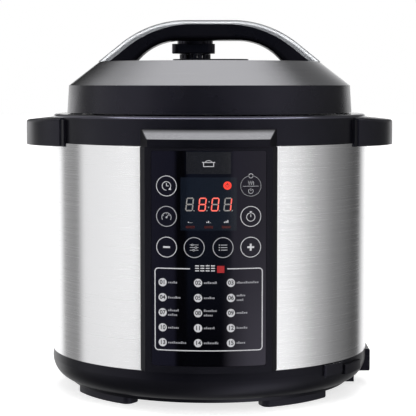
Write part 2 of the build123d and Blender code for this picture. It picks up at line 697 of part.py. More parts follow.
# ---------------------------------------------------------------- condensate cup
def collector_bracket():
    plate = block((-33, 33), (120, CUP_Y[0] - 0.4), (CUP_Z[0] - 4, CUP_Z[1] + 4)) - drum(SHELL_R + 0.02, 0, FAR)
    frame = block((-33, 33), (CUP_Y[0] - 0.6, CUP_Y[0] + 3), (CUP_Z[0] - 4, CUP_Z[1] + 4))
    frame -= block((-CUP_HALF - 0.5, CUP_HALF + 0.5), (100, 200), (CUP_Z[0] - 0.5, CUP_Z[1] + 0.5))
    return plate + frame


def condensate_cup():
    cup = block((-CUP_HALF, CUP_HALF), CUP_Y, CUP_Z)
    cup = fillet(cup.edges().filter_by(Axis.X).sort_by(Axis.Y)[-2:].sort_by(Axis.Z)[:1], 3.0)
    return cup - block((-CUP_HALF + 1.5, CUP_HALF - 1.5), (CUP_Y[0] + 1.5, CUP_Y[1] - 1.5), (CUP_Z[0] + 1.5, CUP_Z[1] + 1))


# ---------------------------------------------------------------- write the nodes
SINGLE_PARTS = [
    base_bowl, bottom_cover, cover_screws, outer_shell, top_collar, liner, locking_ring, heating_plate,
    heater_posts, sensor_cup, sensor_button, sensor_spring, power_board, transformer, relay, inlet_housing,
    inlet_socket, inlet_pins, panel_bezel, panel_lens, control_board, display_module, key_switches,
    visor_housing, inner_pot, sealing_ring, lid_skirt, lid_cone, lid_top_plate, lid_handle, lid_handle_inlay,
    valve_plate, valve_collar, steam_pipe, steam_valve, float_valve, pressure_lid, ring_rack, steam_shield,
    lid_posts, collector_bracket, condensate_cup,
]

nodes = {make.__name__: make() for make in SINGLE_PARTS}
nodes["visor_plate"] = visor_slab()
nodes["side_handle_left"] = side_handle(-1)
nodes["side_handle_right"] = side_handle(1)
for name, span in FOOT_SPANS.items():
    nodes[name] = foot(*span)
for name, place in BUTTONS.items():
    nodes[name] = button(*place)

for name, solid in nodes.items():
    export_step(solid, f"parts/{name}.step")
print(len(nodes), "nodes")
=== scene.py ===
import json
import math

import bpy
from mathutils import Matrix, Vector


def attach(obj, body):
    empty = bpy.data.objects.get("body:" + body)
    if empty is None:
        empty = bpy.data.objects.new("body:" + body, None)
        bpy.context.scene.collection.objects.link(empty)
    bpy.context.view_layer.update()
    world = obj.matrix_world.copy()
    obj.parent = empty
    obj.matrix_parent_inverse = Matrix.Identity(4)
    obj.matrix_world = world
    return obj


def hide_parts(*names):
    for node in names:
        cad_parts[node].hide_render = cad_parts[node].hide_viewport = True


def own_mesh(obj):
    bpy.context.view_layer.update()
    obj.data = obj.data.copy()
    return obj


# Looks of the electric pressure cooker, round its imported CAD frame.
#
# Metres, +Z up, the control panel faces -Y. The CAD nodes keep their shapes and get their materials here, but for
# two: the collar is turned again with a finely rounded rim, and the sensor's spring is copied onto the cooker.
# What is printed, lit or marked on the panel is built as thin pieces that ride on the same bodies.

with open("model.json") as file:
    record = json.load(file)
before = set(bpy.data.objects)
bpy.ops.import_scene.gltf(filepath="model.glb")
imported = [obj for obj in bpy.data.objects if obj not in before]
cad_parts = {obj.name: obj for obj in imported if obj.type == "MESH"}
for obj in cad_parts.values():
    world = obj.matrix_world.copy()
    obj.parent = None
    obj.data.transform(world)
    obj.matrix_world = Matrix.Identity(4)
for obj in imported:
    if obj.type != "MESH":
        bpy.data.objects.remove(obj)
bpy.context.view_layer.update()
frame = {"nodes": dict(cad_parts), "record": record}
scene = bpy.context.scene
MM = 0.001                          # shapes are given in millimetres and made in metres


# ---------------------------------------------------------------- shader helpers
NOISE_LOW, NOISE_HIGH = 0.3, 0.7    # most of a noise texture's values lie between these
BRUSH_LOW, BRUSH_HIGH = 0.32, 0.66  # and the values that a brushed metal's colours run between


def math_node(tree, operation, *values):
    """A maths node; each value is a number or another node's output."""
    made = tree.nodes.new("ShaderNodeMath")
    made.operation = operation
    for socket, value in zip(made.inputs, values):
        if isinstance(value, (int, float)):
            socket.default_value = value
        else:
            tree.links.new(value, socket)
    return made.outputs[0]


def fill_ramp(node, stops):
    """Puts (position, colour) stops on a colour ramp; a bare number is a grey."""
    elements = node.color_ramp.elements
    while len(elements) < len(stops):
        elements.new(0.5)
    for element, (position, color) in zip(elements, stops):
        element.position = position
        element.color = (*color, 1) if isinstance(color, tuple) else (color, color, color, 1)


def fill_range(node, *numbers):
    """Sets a Map Range node's from-low, from-high, to-low and to-high."""
    for socket, number in zip(list(node.inputs)[1:5], numbers):
        socket.default_value = number


class Shade:
    """A Principled material with short calls for its nodes."""

    def __init__(self, name, color, roughness, metallic=0.0, **sockets):
        self.material = bpy.data.materials.new(name)
        self.material.use_nodes = True
        self.tree = self.material.node_tree
        self.shader = self.tree.nodes["Principled BSDF"]
        self.shader.inputs["Base Color"].default_value = (*color, 1)
        self.shader.inputs["Roughness"].default_value = roughness
        self.shader.inputs["Metallic"].default_value = metallic
        for socket, value in sockets.items():
            self.shader.inputs[socket.replace("_", " ")].default_value = value

    def node(self, kind, **settings):
        made = self.tree.nodes.new(kind)
        for key, value in settings.items():
            setattr(made, key, value)
        return made

    def link(self, source, target):
        self.tree.links.new(source, target)

    def math(self, operation, *values):
        return math_node(self.tree, operation, *values)

    def place(self):
        """The piece's own coordinates, which ride with it."""
        return self.node("ShaderNodeTexCoord").outputs["Object"]

    def scaled(self, vector, scale):
        made = self.node("ShaderNodeMapping")
        made.inputs["Scale"].default_value = scale
        self.link(vector, made.inputs["Vector"])
        return made.outputs["Vector"]

    def noise(self, vector, scale, detail=4.0, roughness=0.55):
        made = self.node("ShaderNodeTexNoise")
        made.inputs["Scale"].default_value = scale
        made.inputs["Detail"].default_value = detail
        made.inputs["Roughness"].default_value = roughness
        self.link(vector, made.inputs["Vector"])
        return made.outputs["Fac"]

    def ramp(self, value, *stops):
        """A colour ramp of (position, colour) stops."""
        made = self.node("ShaderNodeValToRGB")
        fill_ramp(made, stops)
        self.link(value, made.inputs["Fac"])
        return made.outputs["Color"]

    def mottle(self, noise, dark, light):
        """Colours a noise from dark to light."""
        return self.ramp(noise, (NOISE_LOW, dark), (NOISE_HIGH, light))

    def spread(self, noise, low, high):
        """Maps a noise to a range."""
        made = self.node("ShaderNodeMapRange")
        fill_range(made, NOISE_LOW, NOISE_HIGH, low, high)
        self.link(noise, made.inputs["Value"])
        return made.outputs["Result"]

    def to(self, socket, value):
        self.link(value, self.shader.inputs[socket])

    def bump(self, height, strength, distance):
        made = self.node("ShaderNodeBump")
        made.inputs["Strength"].default_value = strength
        made.inputs["Distance"].default_value = distance
        self.link(height, made.inputs["Height"])
        self.to("Normal", made.outputs["Normal"])


COOL = (0.78, 0.76, 1.0, 1.0)       # the mouldings' reflections are a little blue
VIOLET = (0.84, 0.79, 1.0, 1.0)     # and the cover sheet's a little violet


def moulded_plastic(name, dark, light, roughness, grain=900.0, bump=0.10, specular=0.5):
    """Fine-textured moulding with faint handling marks."""
    shade = Shade(name, dark, roughness, Specular_IOR_Level=specular, Specular_Tint=COOL)
    place = shade.place()
    cloud = shade.noise(place, 22.0)
    fine = shade.noise(place, grain, detail=2.0)
    shade.to("Base Color", shade.mottle(cloud, dark, light))
    shade.to("Roughness", shade.spread(cloud, roughness - 0.05, roughness + 0.06))
    shade.bump(fine, bump, 0.00006)
    return shade.material


def gloss_sheet(name, dark, light, roughness):
    """Polished cover sheet: nearly black, with a faint orange-peel wave."""
    shade = Shade(name, dark, roughness, Specular_IOR_Level=0.5, Specular_Tint=VIOLET)
    place = shade.place()
    cloud = shade.noise(place, 12.0)
    shade.to("Base Color", shade.mottle(cloud, dark, light))
    shade.to("Roughness", shade.spread(shade.noise(place, 70.0), roughness, roughness + 0.04))
    shade.bump(shade.noise(place, 45.0, detail=1.0), 0.04, 0.0001)
    return shade.material


ALONG_TURN = 9.0                    # noise cells per metre along round brush lines
STRAIGHT_CELLS = (12.0, 2200.0, 2200.0)
STROKE_SHARE = 0.8                  # the rest of a round-brushed colour is a slow cloud


def round_brushed(name, dark, light, roughness, lines=2600.0, anisotropy=0.75, bump=0.12):
    """Metal brushed round the vertical axis: the lines are long along the turn and fine across it."""
    shade = Shade(name, light, roughness, metallic=1.0, Anisotropic=anisotropy, Anisotropic_Rotation=0.25)
    place = shade.place()
    parts = shade.node("ShaderNodeSeparateXYZ")
    shade.link(place, parts.inputs[0])
    x, y, z = parts.outputs
    squares = shade.math("ADD", shade.math("MULTIPLY", x, x), shade.math("MULTIPLY", y, y))
    radius = shade.math("SQRT", squares)
    across = shade.math("SUBTRACT", radius, z)
    joined = shade.node("ShaderNodeCombineXYZ")
    shade.link(shade.math("MULTIPLY", x, ALONG_TURN), joined.inputs[0])
    shade.link(shade.math("MULTIPLY", y, ALONG_TURN), joined.inputs[1])
    shade.link(shade.math("MULTIPLY", across, lines), joined.inputs[2])
    strokes = shade.noise(joined.outputs[0], 1.0, detail=3.0, roughness=0.65)
    cloud = shade.noise(place, 7.0)
    slow = shade.math("MULTIPLY", cloud, 1 - STROKE_SHARE)
    mixed = shade.math("ADD", shade.math("MULTIPLY", strokes, STROKE_SHARE), slow)
    shade.to("Base Color", shade.ramp(mixed, (BRUSH_LOW, dark), (BRUSH_HIGH, light)))
    shade.to("Roughness", shade.spread(strokes, roughness - 0.05, roughness + 0.07))
    shade.bump(strokes, bump, 0.00004)
    turn = shade.node("ShaderNodeTangent", direction_type="RADIAL", axis="Z")
    shade.to("Tangent", turn.outputs["Tangent"])
    return shade.material


def straight_brushed(name, dark, light, roughness, painted_top_shade=None):
    """Metal brushed along X; a painted shade of (low z, top z, level at the top) darkens its colour towards its top.
    """
    shade = Shade(name, light, roughness, metallic=1.0)
    place = shade.place()
    strokes = shade.noise(shade.scaled(place, STRAIGHT_CELLS), 1.0, detail=5.0, roughness=0.7)
    color = shade.ramp(strokes, (BRUSH_LOW, dark), (BRUSH_HIGH, light))
    # painted shade: the colour is scaled down towards the top
    if painted_top_shade:
        parts = shade.node("ShaderNodeSeparateXYZ")
        shade.link(place, parts.inputs[0])
        rise = shade.node("ShaderNodeMapRange")
        low_z, top_z, top_level = painted_top_shade
        fill_range(rise, low_z, top_z, 1.0, top_level)
        shade.link(parts.outputs[2], rise.inputs["Value"])
        scaled = shade.node("ShaderNodeVectorMath", operation="SCALE")
        shade.link(color, scaled.inputs[0])
        shade.link(rise.outputs["Result"], scaled.inputs["Scale"])
        color = scaled.outputs["Vector"]
    shade.to("Base Color", color)
    shade.to("Roughness", shade.spread(strokes, roughness - 0.04, roughness + 0.08))
    shade.bump(strokes, 0.1, 0.00004)
    return shade.material


def cast_metal(name, dark, light, roughness, scale=260.0, bump=0.25):
    """Metal with a fine even grain: cast, or plated."""
    shade = Shade(name, light, roughness, metallic=1.0)
    place = shade.place()
    cloud = shade.noise(place, scale, detail=6.0)
    shade.to("Base Color", shade.mottle(cloud, dark, light))
    shade.to("Roughness", shade.spread(cloud, roughness - 0.06, roughness + 0.08))
    shade.bump(cloud, bump, 0.0001)
    return shade.material


def silicone_rubber(name):
    """Pale, slightly see-through rubber."""
    shade = Shade(name, (0.72, 0.73, 0.72), 0.45, Subsurface_Weight=0.4, Subsurface_Scale=0.002)
    place = shade.place()
    cloud = shade.noise(place, 60.0)
    shade.to("Base Color", shade.mottle(cloud, (0.66, 0.67, 0.66), (0.78, 0.79, 0.78)))
    shade.to("Roughness", shade.spread(cloud, 0.38, 0.52))
    shade.bump(shade.noise(place, 900.0), 0.1, 0.00005)
    return shade.material


def frosted_plastic(name):
    """Milky see-through plastic with a fine etched face."""
    shade = Shade(name, (0.62, 0.64, 0.66), 0.28, Transmission_Weight=0.55, IOR=1.49)
    place = shade.place()
    cloud = shade.noise(place, 60.0)
    shade.to("Base Color", shade.mottle(cloud, (0.56, 0.58, 0.6), (0.64, 0.66, 0.68)))
    shade.to("Roughness", shade.spread(cloud, 0.26, 0.36))
    shade.bump(shade.noise(place, 1500.0, detail=2.0), 0.05, 0.00002)
    return shade.material


def circuit_board(name):
    """Green solder mask with a faint pattern of straight lines."""
    shade = Shade(name, (0.02, 0.13, 0.05), 0.35)
    place = shade.place()
    tracks = shade.node("ShaderNodeTexBrick")
    tracks.inputs["Scale"].default_value = 140.0
    tracks.inputs["Color1"].default_value = (0.02, 0.13, 0.05, 1)
    tracks.inputs["Color2"].default_value = (0.03, 0.17, 0.07, 1)
    tracks.inputs["Mortar"].default_value = (0.07, 0.26, 0.11, 1)
    shade.link(place, tracks.inputs["Vector"])
    shade.to("Base Color", tracks.outputs["Color"])
    shade.to("Roughness", shade.spread(shade.noise(place, 300.0), 0.28, 0.42))
    return shade.material


def printed_ink(name, dark, light, roughness=0.4):
    """Screen-printed ink: nearly even, with the slight mottle of a mesh print."""
    shade = Shade(name, light, roughness)
    place = shade.place()
    mottle = shade.noise(place, 3000.0, detail=2.0)
    shade.to("Base Color", shade.mottle(mottle, dark, light))
    shade.to("Roughness", shade.spread(mottle, roughness - 0.05, roughness + 0.08))
    return shade.material


def lit_segment(name, dark, light, strength):
    """A glowing element behind the sheet, slightly uneven."""
    shade = Shade(name, light, 0.35)
    place = shade.place()
    mottle = shade.noise(place, 900.0, detail=2.0)
    color = shade.mottle(mottle, dark, light)
    shade.to("Base Color", color)
    shade.to("Emission Color", color)
    shade.shader.inputs["Emission Strength"].default_value = strength
    return shade.material


# ---------------------------------------------------------------- materials
BLACK = moulded_plastic("black_moulding", (0.0026, 0.0025, 0.0036), (0.0040, 0.0038, 0.0054), 0.27, specular=0.33)
BLACK_DULL = moulded_plastic("black_body", (0.0026, 0.0026, 0.0038), (0.0040, 0.0040, 0.0056), 0.33, specular=0.27)
BLACK_BASE = moulded_plastic("black_base", (0.0020, 0.0020, 0.0030), (0.0032, 0.0032, 0.0046), 0.34, specular=0.17)
BLACK_COLLAR = moulded_plastic("black_collar", (0.0024, 0.0024, 0.0036), (0.0036, 0.0036, 0.0052), 0.30, specular=0.23)
BLACK_RIM = moulded_plastic("black_rim", (0.0026, 0.0026, 0.0038), (0.0040, 0.0040, 0.0056), 0.16, specular=1.0)
BLACK_VALVE = moulded_plastic("black_valve", (0.0014, 0.0014, 0.0018), (0.0022, 0.0022, 0.0028), 0.34, specular=0.37)
BLACK_BEZEL = moulded_plastic("black_bezel", (0.0022, 0.0022, 0.0030), (0.0034, 0.0034, 0.0046), 0.42, specular=0.17)
BLACK_DEEP = moulded_plastic("black_grip", (0.0018, 0.0018, 0.0026), (0.0026, 0.0026, 0.0036), 0.30, specular=0.2)
BLACK_GLOSS = gloss_sheet("black_cover_sheet", (0.0012, 0.0012, 0.0020), (0.0018, 0.0018, 0.0028), 0.05)
STEEL = round_brushed("brushed_drum", (0.73, 0.73, 0.74), (0.81, 0.81, 0.82), 0.22, lines=1700.0, bump=0.06)
DARK_STEEL = round_brushed("brushed_shoulder", (0.41, 0.41, 0.43), (0.48, 0.48, 0.50), 0.20, anisotropy=0.6, bump=0.02)
TRIM = straight_brushed("silver_strip", (0.29, 0.297, 0.306), (0.36, 0.368, 0.38), 0.44)
# the visor's colour is darkened over its top 3 mm, as painted shade
VISOR = straight_brushed("silver_visor", (0.32, 0.32, 0.34), (0.42, 0.42, 0.44), 0.14, painted_top_shade=(0.2362, 0.2392, 0.16))
STAINLESS = round_brushed("spun_steel", (0.46, 0.46, 0.46), (0.62, 0.62, 0.62), 0.26, lines=1600.0)
CAST = cast_metal("cast_plate", (0.36, 0.36, 0.37), (0.52, 0.52, 0.53), 0.42)
NICKEL = cast_metal("plated_steel", (0.56, 0.55, 0.53), (0.70, 0.69, 0.67), 0.24, scale=500.0, bump=0.06)
DARK_CASE = moulded_plastic("moulded_case", (0.016, 0.016, 0.018), (0.03, 0.03, 0.033), 0.5)
FEET = moulded_plastic("rubber_feet", (0.004, 0.004, 0.0055), (0.007, 0.007, 0.009), 0.48,
                       grain=500.0, bump=0.2, specular=0.27)
BOARD = circuit_board("solder_mask")
SILICONE = silicone_rubber("silicone")
FROSTED = frosted_plastic("frosted_cup")
INK_WHITE = printed_ink("ink_white", (0.50, 0.50, 0.52), (0.66, 0.66, 0.68))
INK_KEYS = printed_ink("ink_keys", (0.34, 0.34, 0.36), (0.46, 0.46, 0.48))
INK_GREY = printed_ink("ink_grey", (0.20, 0.20, 0.22), (0.32, 0.32, 0.34))
INK_DARK = printed_ink("ink_dark", (0.010, 0.010, 0.014), (0.020, 0.020, 0.026))
INK_RED = printed_ink("ink_red", (0.32, 0.002, 0.004), (0.42, 0.003, 0.006))
WINDOW = printed_ink("display_window", (0.004, 0.006, 0.011), (0.006, 0.009, 0.016), 0.12)
BADGE = printed_ink("badge_plate", (0.006, 0.006, 0.008), (0.010, 0.010, 0.012), 0.22)
UNLIT = printed_ink("unlit_segment", (0.22, 0.21, 0.20), (0.32, 0.31, 0.30), 0.5)
LIT = lit_segment("lit_segment", (0.70, 0.075, 0.055), (0.86, 0.15, 0.11), 0.68)
LIT_ICON = lit_segment("lit_icon", (0.66, 0.022, 0.012), (0.82, 0.045, 0.022), 0.62)
DIM_RED = lit_segment("dim_segment", (0.035, 0.0015, 0.001), (0.055, 0.002, 0.0015), 0.03)

SLOT_MATERIAL = {
    "black_plastic": BLACK,
    "gloss_black": BLACK_GLOSS,
    "brushed_steel": STEEL,
    "dark_brushed_steel": DARK_STEEL,
    "silver_trim": TRIM,
    "stainless": STAINLESS,
    "cast_aluminium": CAST,
    "silicone": SILICONE,
    "clear_plastic": FROSTED,
    "circuit_board": BOARD,
    "dark_electronics": DARK_CASE,
    "rubber_feet": FEET,
    "nickel": NICKEL,
}
node_slot = {part["node"]: part["material_slot"] for part in frame["record"]["subparts"]}
NODE_MATERIAL = {
    "visor_plate": VISOR,
    "lid_handle": BLACK_DEEP,
    "steam_valve": BLACK_VALVE,
    "valve_collar": BLACK_VALVE,
    "panel_bezel": BLACK_BEZEL,
    "visor_housing": BLACK_DEEP,
    "top_collar": BLACK_COLLAR,
    "base_bowl": BLACK_BASE,
    "inlet_housing": BLACK,
    "side_handle_left": BLACK_DULL,
    "side_handle_right": BLACK_DULL,
}
for name, node in frame["nodes"].items():
    for slot in node.material_slots:
        slot.material = NODE_MATERIAL.get(name, SLOT_MATERIAL[node_slot[name]])


# ---------------------------------------------------------------- the collar, with a finely rounded rim
COLLAR = {"r": 143.5, "low": 225.3, "top": 250.5, "wall": 3.0, "mouth_r": 127.8, "round": 2.8, "mouth_round": 1.5}
SPIGOT = {"r": 144.1, "low": 219.3}     # the collar's part inside the drum
TURNS = 240                             # steps round the axis
QUARTER_STEPS = 8
SMOOTH_BELOW = 30                       # degrees; sharper edges stay sharp


def quarter(r, z, radius, start):
    """Points of a quarter arc about (r, z), counted from a start angle in degrees."""
    angles = [math.radians(start + 90 * i / QUARTER_STEPS) for i in range(QUARTER_STEPS + 1)]
    return [(r + radius * math.cos(a), z + radius * math.sin(a)) for a in angles]


def lathe(name, outline, material, rim_material, rim_from):
    """Turns a closed (radius, height) outline about the axis; faces above rim_from take the rim's material."""
    count = len(outline)
    verts, faces = [], []
    for i in range(TURNS):
        angle = 2 * math.pi * i / TURNS
        verts += [(r * MM * math.cos(angle), r * MM * math.sin(angle), z * MM) for r, z in outline]
        ahead = (i + 1) % TURNS
        for j in range(count):
            k = (j + 1) % count
            faces.append((i * count + j, ahead * count + j, ahead * count + k, i * count + k))
    mesh = bpy.data.meshes.new(name)
    mesh.from_pydata(verts, [], faces)
    mesh.materials.append(material)
    mesh.materials.append(rim_material)
    for face in mesh.polygons:
        face.material_index = int(face.center.z > rim_from * MM)
    mesh.shade_smooth()
    mesh.set_sharp_from_angle(angle=math.radians(SMOOTH_BELOW))
    piece = bpy.data.objects.new(name, mesh)
    scene.collection.objects.link(piece)
    return piece


def collar():
    """The top collar's profile: a spigot, a straight outer wall, a rounded rim and a rounded mouth."""
    r, top, mouth_r = COLLAR["r"], COLLAR["top"], COLLAR["mouth_r"]
    rim, mouth_rim = COLLAR["round"], COLLAR["mouth_round"]
    inner, under = r - COLLAR["wall"], top - COLLAR["wall"]
    outline = [(inner, SPIGOT["low"]), (SPIGOT["r"], SPIGOT["low"]), (SPIGOT["r"], COLLAR["low"]), (r, COLLAR["low"])]
    outline += quarter(r - rim, top - rim, rim, 0)
    outline += quarter(mouth_r + mouth_rim, top - mouth_rim, mouth_rim, 90)
    outline += [(mouth_r, under), (inner, under)]
    piece = lathe("top_collar_rim", outline, BLACK_COLLAR, BLACK_RIM, top - rim)
    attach(piece, "cooker")
    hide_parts("top_collar")


collar()


# ---------------------------------------------------------------- the sensor's spring, copied (the real one shortens when pressed)
def sensor_coil():
    """A copy of the spring's mesh, riding on the cooker."""
    shape = frame["nodes"]["sensor_spring"].data.copy()
    piece = bpy.data.objects.new("sensor_coil", shape)
    scene.collection.objects.link(piece)
    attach(piece, "cooker")
    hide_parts("sensor_spring")
    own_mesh(piece)


sensor_coil()


# ---------------------------------------------------------------- what is printed on the panel
LENS_R = 149.6             # millimetres, like every panel size below
INK_OVER = 0.035           # how far the ink's face stands over the sheet
INK_THICK = 0.05
LAYER = 0.03               # how much higher a print on another print stands
STEP = 2.5                 # longest run of a shape before it is cut, so that it follows the curve


class Print:
    """Flat shapes on the panel's front view, in millimetres, wrapped on the curved sheet as one piece."""

    def __init__(self):
        self.points = []
        self.faces = []

    def add(self, points, faces):
        start = len(self.points)
        self.points += points
        self.faces += [[start + i for i in face] for face in faces]

    def sheet(self, x_low, x_high, z_low, z_high):
        """A rectangle in columns."""
        count = max(1, math.ceil((x_high - x_low) / STEP))
        columns = [x_low + (x_high - x_low) * i / count for i in range(count + 1)]
        points = [(x, z) for x in columns for z in (z_low, z_high)]
        self.add(points, [(2 * i, 2 * i + 2, 2 * i + 3, 2 * i + 1) for i in range(count)])

    def ring(self, x, z, r_in, r_out, start=0.0, end=360.0):
        """A ring, or the arc of one between two angles in degrees."""
        count = max(6, round((end - start) / 6))
        points = []
        for i in range(count + 1):
            angle = math.radians(start + (end - start) * i / count)
            for r in (r_in, r_out):
                points.append((x + r * math.cos(angle), z + r * math.sin(angle)))
        faces = [(2 * i, 2 * i + 1, 2 * i + 3, 2 * i + 2) for i in range(count)]
        self.add(points, faces)

    def disc(self, x, z, radius, count=36):
        rim = [(x + radius * math.cos(2 * math.pi * i / count), z + radius * math.sin(2 * math.pi * i / count))
               for i in range(count)]
        self.add([(x, z)] + rim, [(0, i + 1, (i + 1) % count + 1) for i in range(count)])

    def polygon(self, points):
        self.add(list(points), [tuple(range(len(points)))])

    def line(self, x0, z0, x1, z1, width):
        """A straight stroke with square ends, cut into short runs."""
        run = Vector((x1 - x0, z1 - z0))
        side = Vector((-run.y, run.x)).normalized() * width / 2
        count = max(1, math.ceil(run.length / STEP))
        points = []
        for i in range(count + 1):
            middle = Vector((x0, z0)) + run * i / count
            points += [tuple(middle - side), tuple(middle + side)]
        self.add(points, [(2 * i, 2 * i + 2, 2 * i + 3, 2 * i + 1) for i in range(count)])

    def text(self, body, x, z, size, bold=0.0):
        """Digits, as a mesh."""
        curve = bpy.data.curves.new("digits", "FONT")
        curve.body, curve.size, curve.offset, curve.resolution_u = body, size, bold, 4
        curve.align_x, curve.align_y = "CENTER", "CENTER"
        temp = bpy.data.objects.new("digits", curve)
        scene.collection.objects.link(temp)
        mesh = bpy.data.meshes.new_from_object(temp.evaluated_get(bpy.context.evaluated_depsgraph_get()))
        self.add([(x + v.co.x, z + v.co.y) for v in mesh.vertices], [tuple(p.vertices) for p in mesh.polygons])
        bpy.data.objects.remove(temp)
        bpy.data.curves.remove(curve)
        bpy.data.meshes.remove(mesh)

    def make(self, name, material, lift=0.0, body="cooker"):
        """Wraps the shapes on the sheet and gives them the ink's thickness."""
        radius = LENS_R + INK_OVER + lift
        verts = [(x * MM, -math.sqrt(radius**2 - x**2) * MM, z * MM) for x, z in self.points]
        mesh = bpy.data.meshes.new(name)
        mesh.from_pydata(verts, [], self.faces)
        mesh.materials.append(material)
        piece = bpy.data.objects.new(name, mesh)
        scene.collection.objects.link(piece)
        depth = piece.modifiers.new("ink_depth", "SOLIDIFY")
        depth.thickness, depth.offset = (INK_THICK + lift) * MM, -1
        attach(piece, body)


COLUMN_X, MIDDLE_X = 35.1, 12.0     # the keys' middles
ROW_TOP, ROW_MID, ROW_LOW = 192.9, 167.5, 141.8
KEYS = {
    "delay": (-COLUMN_X, ROW_TOP),
    "pressure": (-COLUMN_X, ROW_MID),
    "minus": (-COLUMN_X, ROW_LOW),
    "manual": (-MIDDLE_X, ROW_LOW),
    "menu": (MIDDLE_X, ROW_LOW),
    "plus": (COLUMN_X, ROW_LOW),
    "timer": (COLUMN_X, ROW_MID),
    "power": (COLUMN_X, ROW_TOP),
}
RING_R = 8.65
RING_LINE = 0.60
MARK_LINE = 0.55
LAMP_R, LAMP_LINE = 2.0, 0.5       # the ring of the power key's lamp, half on the key and half on the sheet
LAMP_IN = 0.25                     # how far its middle lies inside the key's edge
STRONG_KEYS = ("minus", "plus", "timer", "delay")


def mark_delay(ink, x, z):
    """A clock face with an arrow running round it."""
    ink.ring(x, z, 3.3, 3.3 + MARK_LINE, -40, 270)
    ink.polygon([(x + 1.6, z - 3.0), (x + 3.9, z - 3.4), (x + 3.3, z - 0.9)])
    ink.line(x, z - 0.2, x, z + 2.3, MARK_LINE)
    ink.line(x - 0.2, z, x + 1.8, z, MARK_LINE)


def mark_pressure(ink, x, z):
    """A gauge with its needle."""
    ink.ring(x, z - 0.8, 3.6, 3.6 + MARK_LINE, -30, 210)
    ink.line(x, z - 0.8, x + 1.9, z + 1.7, MARK_LINE)
    ink.disc(x, z - 0.8, 0.8, 20)
    for angle in (30, 90, 150):
        c, s = math.cos(math.radians(angle)), math.sin(math.radians(angle))
        ink.line(x + 2.6 * c, z - 0.8 + 2.6 * s, x + 3.4 * c, z - 0.8 + 3.4 * s, 0.4)


def mark_minus(ink, x, z):
    ink.sheet(x - 2.9, x + 2.9, z - 0.75, z + 0.75)


def mark_plus(ink, x, z):
    ink.sheet(x - 2.9, x + 2.9, z - 0.8, z + 0.8)
    ink.sheet(x - 0.8, x + 0.8, z + 0.8, z + 2.9)
    ink.sheet(x - 0.8, x + 0.8, z - 2.9, z - 0.8)


def mark_manual(ink, x, z):
    """Three sliders."""
    for i, knob in enumerate((-1.6, 1.4, -0.4)):
        level = z + 2.2 - 2.2 * i
        ink.line(x - 3.6, level, x + knob - 0.9, level, 0.45)
        ink.line(x + knob + 0.9, level, x + 3.6, level, 0.45)
        ink.ring(x + knob, level, 0.5, 0.95)


def mark_menu(ink, x, z):
    """A list: dots and lines."""
    for level in (z + 2.1, z, z - 2.1):
        ink.disc(x - 3.1, level, 0.5, 16)
        ink.line(x - 1.9, level, x + 3.6, level, MARK_LINE)


def mark_timer(ink, x, z):
    """A stopwatch."""
    ink.ring(x, z - 0.5, 3.2, 3.2 + MARK_LINE)
    ink.line(x, z - 0.5, x, z + 1.7, MARK_LINE)
    ink.line(x - 1.0, z + 4.0, x + 1.0, z + 4.0, 0.7)
    ink.line(x, z + 3.2, x, z + 3.8, 0.6)


def mark_power(ink, x, z):
    """Keep-warm waves over a divider, and the standby sign under it."""
    for shift in (-1.8, 0.0, 1.8):
        ink.ring(x + shift - 0.55, z + 3.3, 0.55, 0.95, -90, 90)
        ink.ring(x + shift + 0.95, z + 1.8, 0.55, 0.95, 90, 270)
    ink.line(x - 6.6, z - 0.2, x + 6.6, z - 0.2, 0.35)
    ink.ring(x, z - 4.3, 1.75, 2.2, 125, 415)
    ink.line(x, z - 4.2, x, z - 1.9, 0.45)


MARKS = {
    "delay": mark_delay,
    "pressure": mark_pressure,
    "minus": mark_minus,
    "manual": mark_manual,
    "menu": mark_menu,
    "plus": mark_plus,
    "timer": mark_timer,
    "power": mark_power,
}


def key_prints():
    """Each key's ring and mark ride on the key."""
    for key, (x, z) in KEYS.items():
        ink = Print()
        if key == "power":
            lamp = (x, z + RING_R - LAMP_IN, LAMP_R - LAMP_LINE, LAMP_R)
            ink.ring(x, z, RING_R - RING_LINE / 2, RING_R, 104, 436)
            ink.ring(*lamp, 182, 358)
            outer = Print()
            outer.ring(*lamp, 16, 164)
            outer.make("ink_power_lamp", INK_WHITE)
        else:
            ink.ring(x, z, RING_R - RING_LINE, RING_R)
        MARKS[key](ink, x, z)
        ink.make(f"ink_{key}", INK_WHITE if key in STRONG_KEYS else INK_KEYS, body=f"key_{key}")


# ---------------------------------------------------------------- display
WINDOW_BOX = (-23.4, 23.4, 156.0, 200.2)
DIGIT_W, DIGIT_H, DIGIT_LINE = 6.4, 11.4, 1.05
DIGIT_Z = 172.05
DIGIT_GAP = 0.12                    # between the ends of two segments
SLANT = math.tan(math.radians(6.0))
STOP_R, COLON_R = 0.5, 0.6
COLON_X, COLON_LEVELS = -0.4, (3.4, 8.0)
LAMP_X, LAMP_Z, LAMP_DISC_R = 15.6, 193.4, 3.4
LEVEL_X = (-15.3, 0.0, 14.6)        # the middles of the three pressure levels
LEVEL_LAMP = (3.6, 157.9, 159.9)    # half width, low and top
BAR_X, BAR_Z, BAR_W, BAR_STEP = -1.9, 162.4, 0.9, 1.4
BAR_H, BAR_RISE, BAR_OFF_H = 0.9, 0.7, 0.3
SIGN_R, SIGN_LINE, SIGN_H, SIGN_STEM = 1.2, 0.4, 2.2, 0.5   # the small knob sign in the lamp
SEGMENTS = {
    "a": ((0, 1), (1, 1)),
    "b": ((1, 1), (1, 0.5)),
    "c": ((1, 0.5), (1, 0)),
    "d": ((0, 0), (1, 0)),
    "e": ((0, 0.5), (0, 0)),
    "f": ((0, 1), (0, 0.5)),
    "g": ((0, 0.5), (1, 0.5)),
}
DIGITS = ((-19.5, ""), (-8.9, "abcdefg"), (1.7, "abcdef"), (12.2, "bc"))   # left edge, lit segments


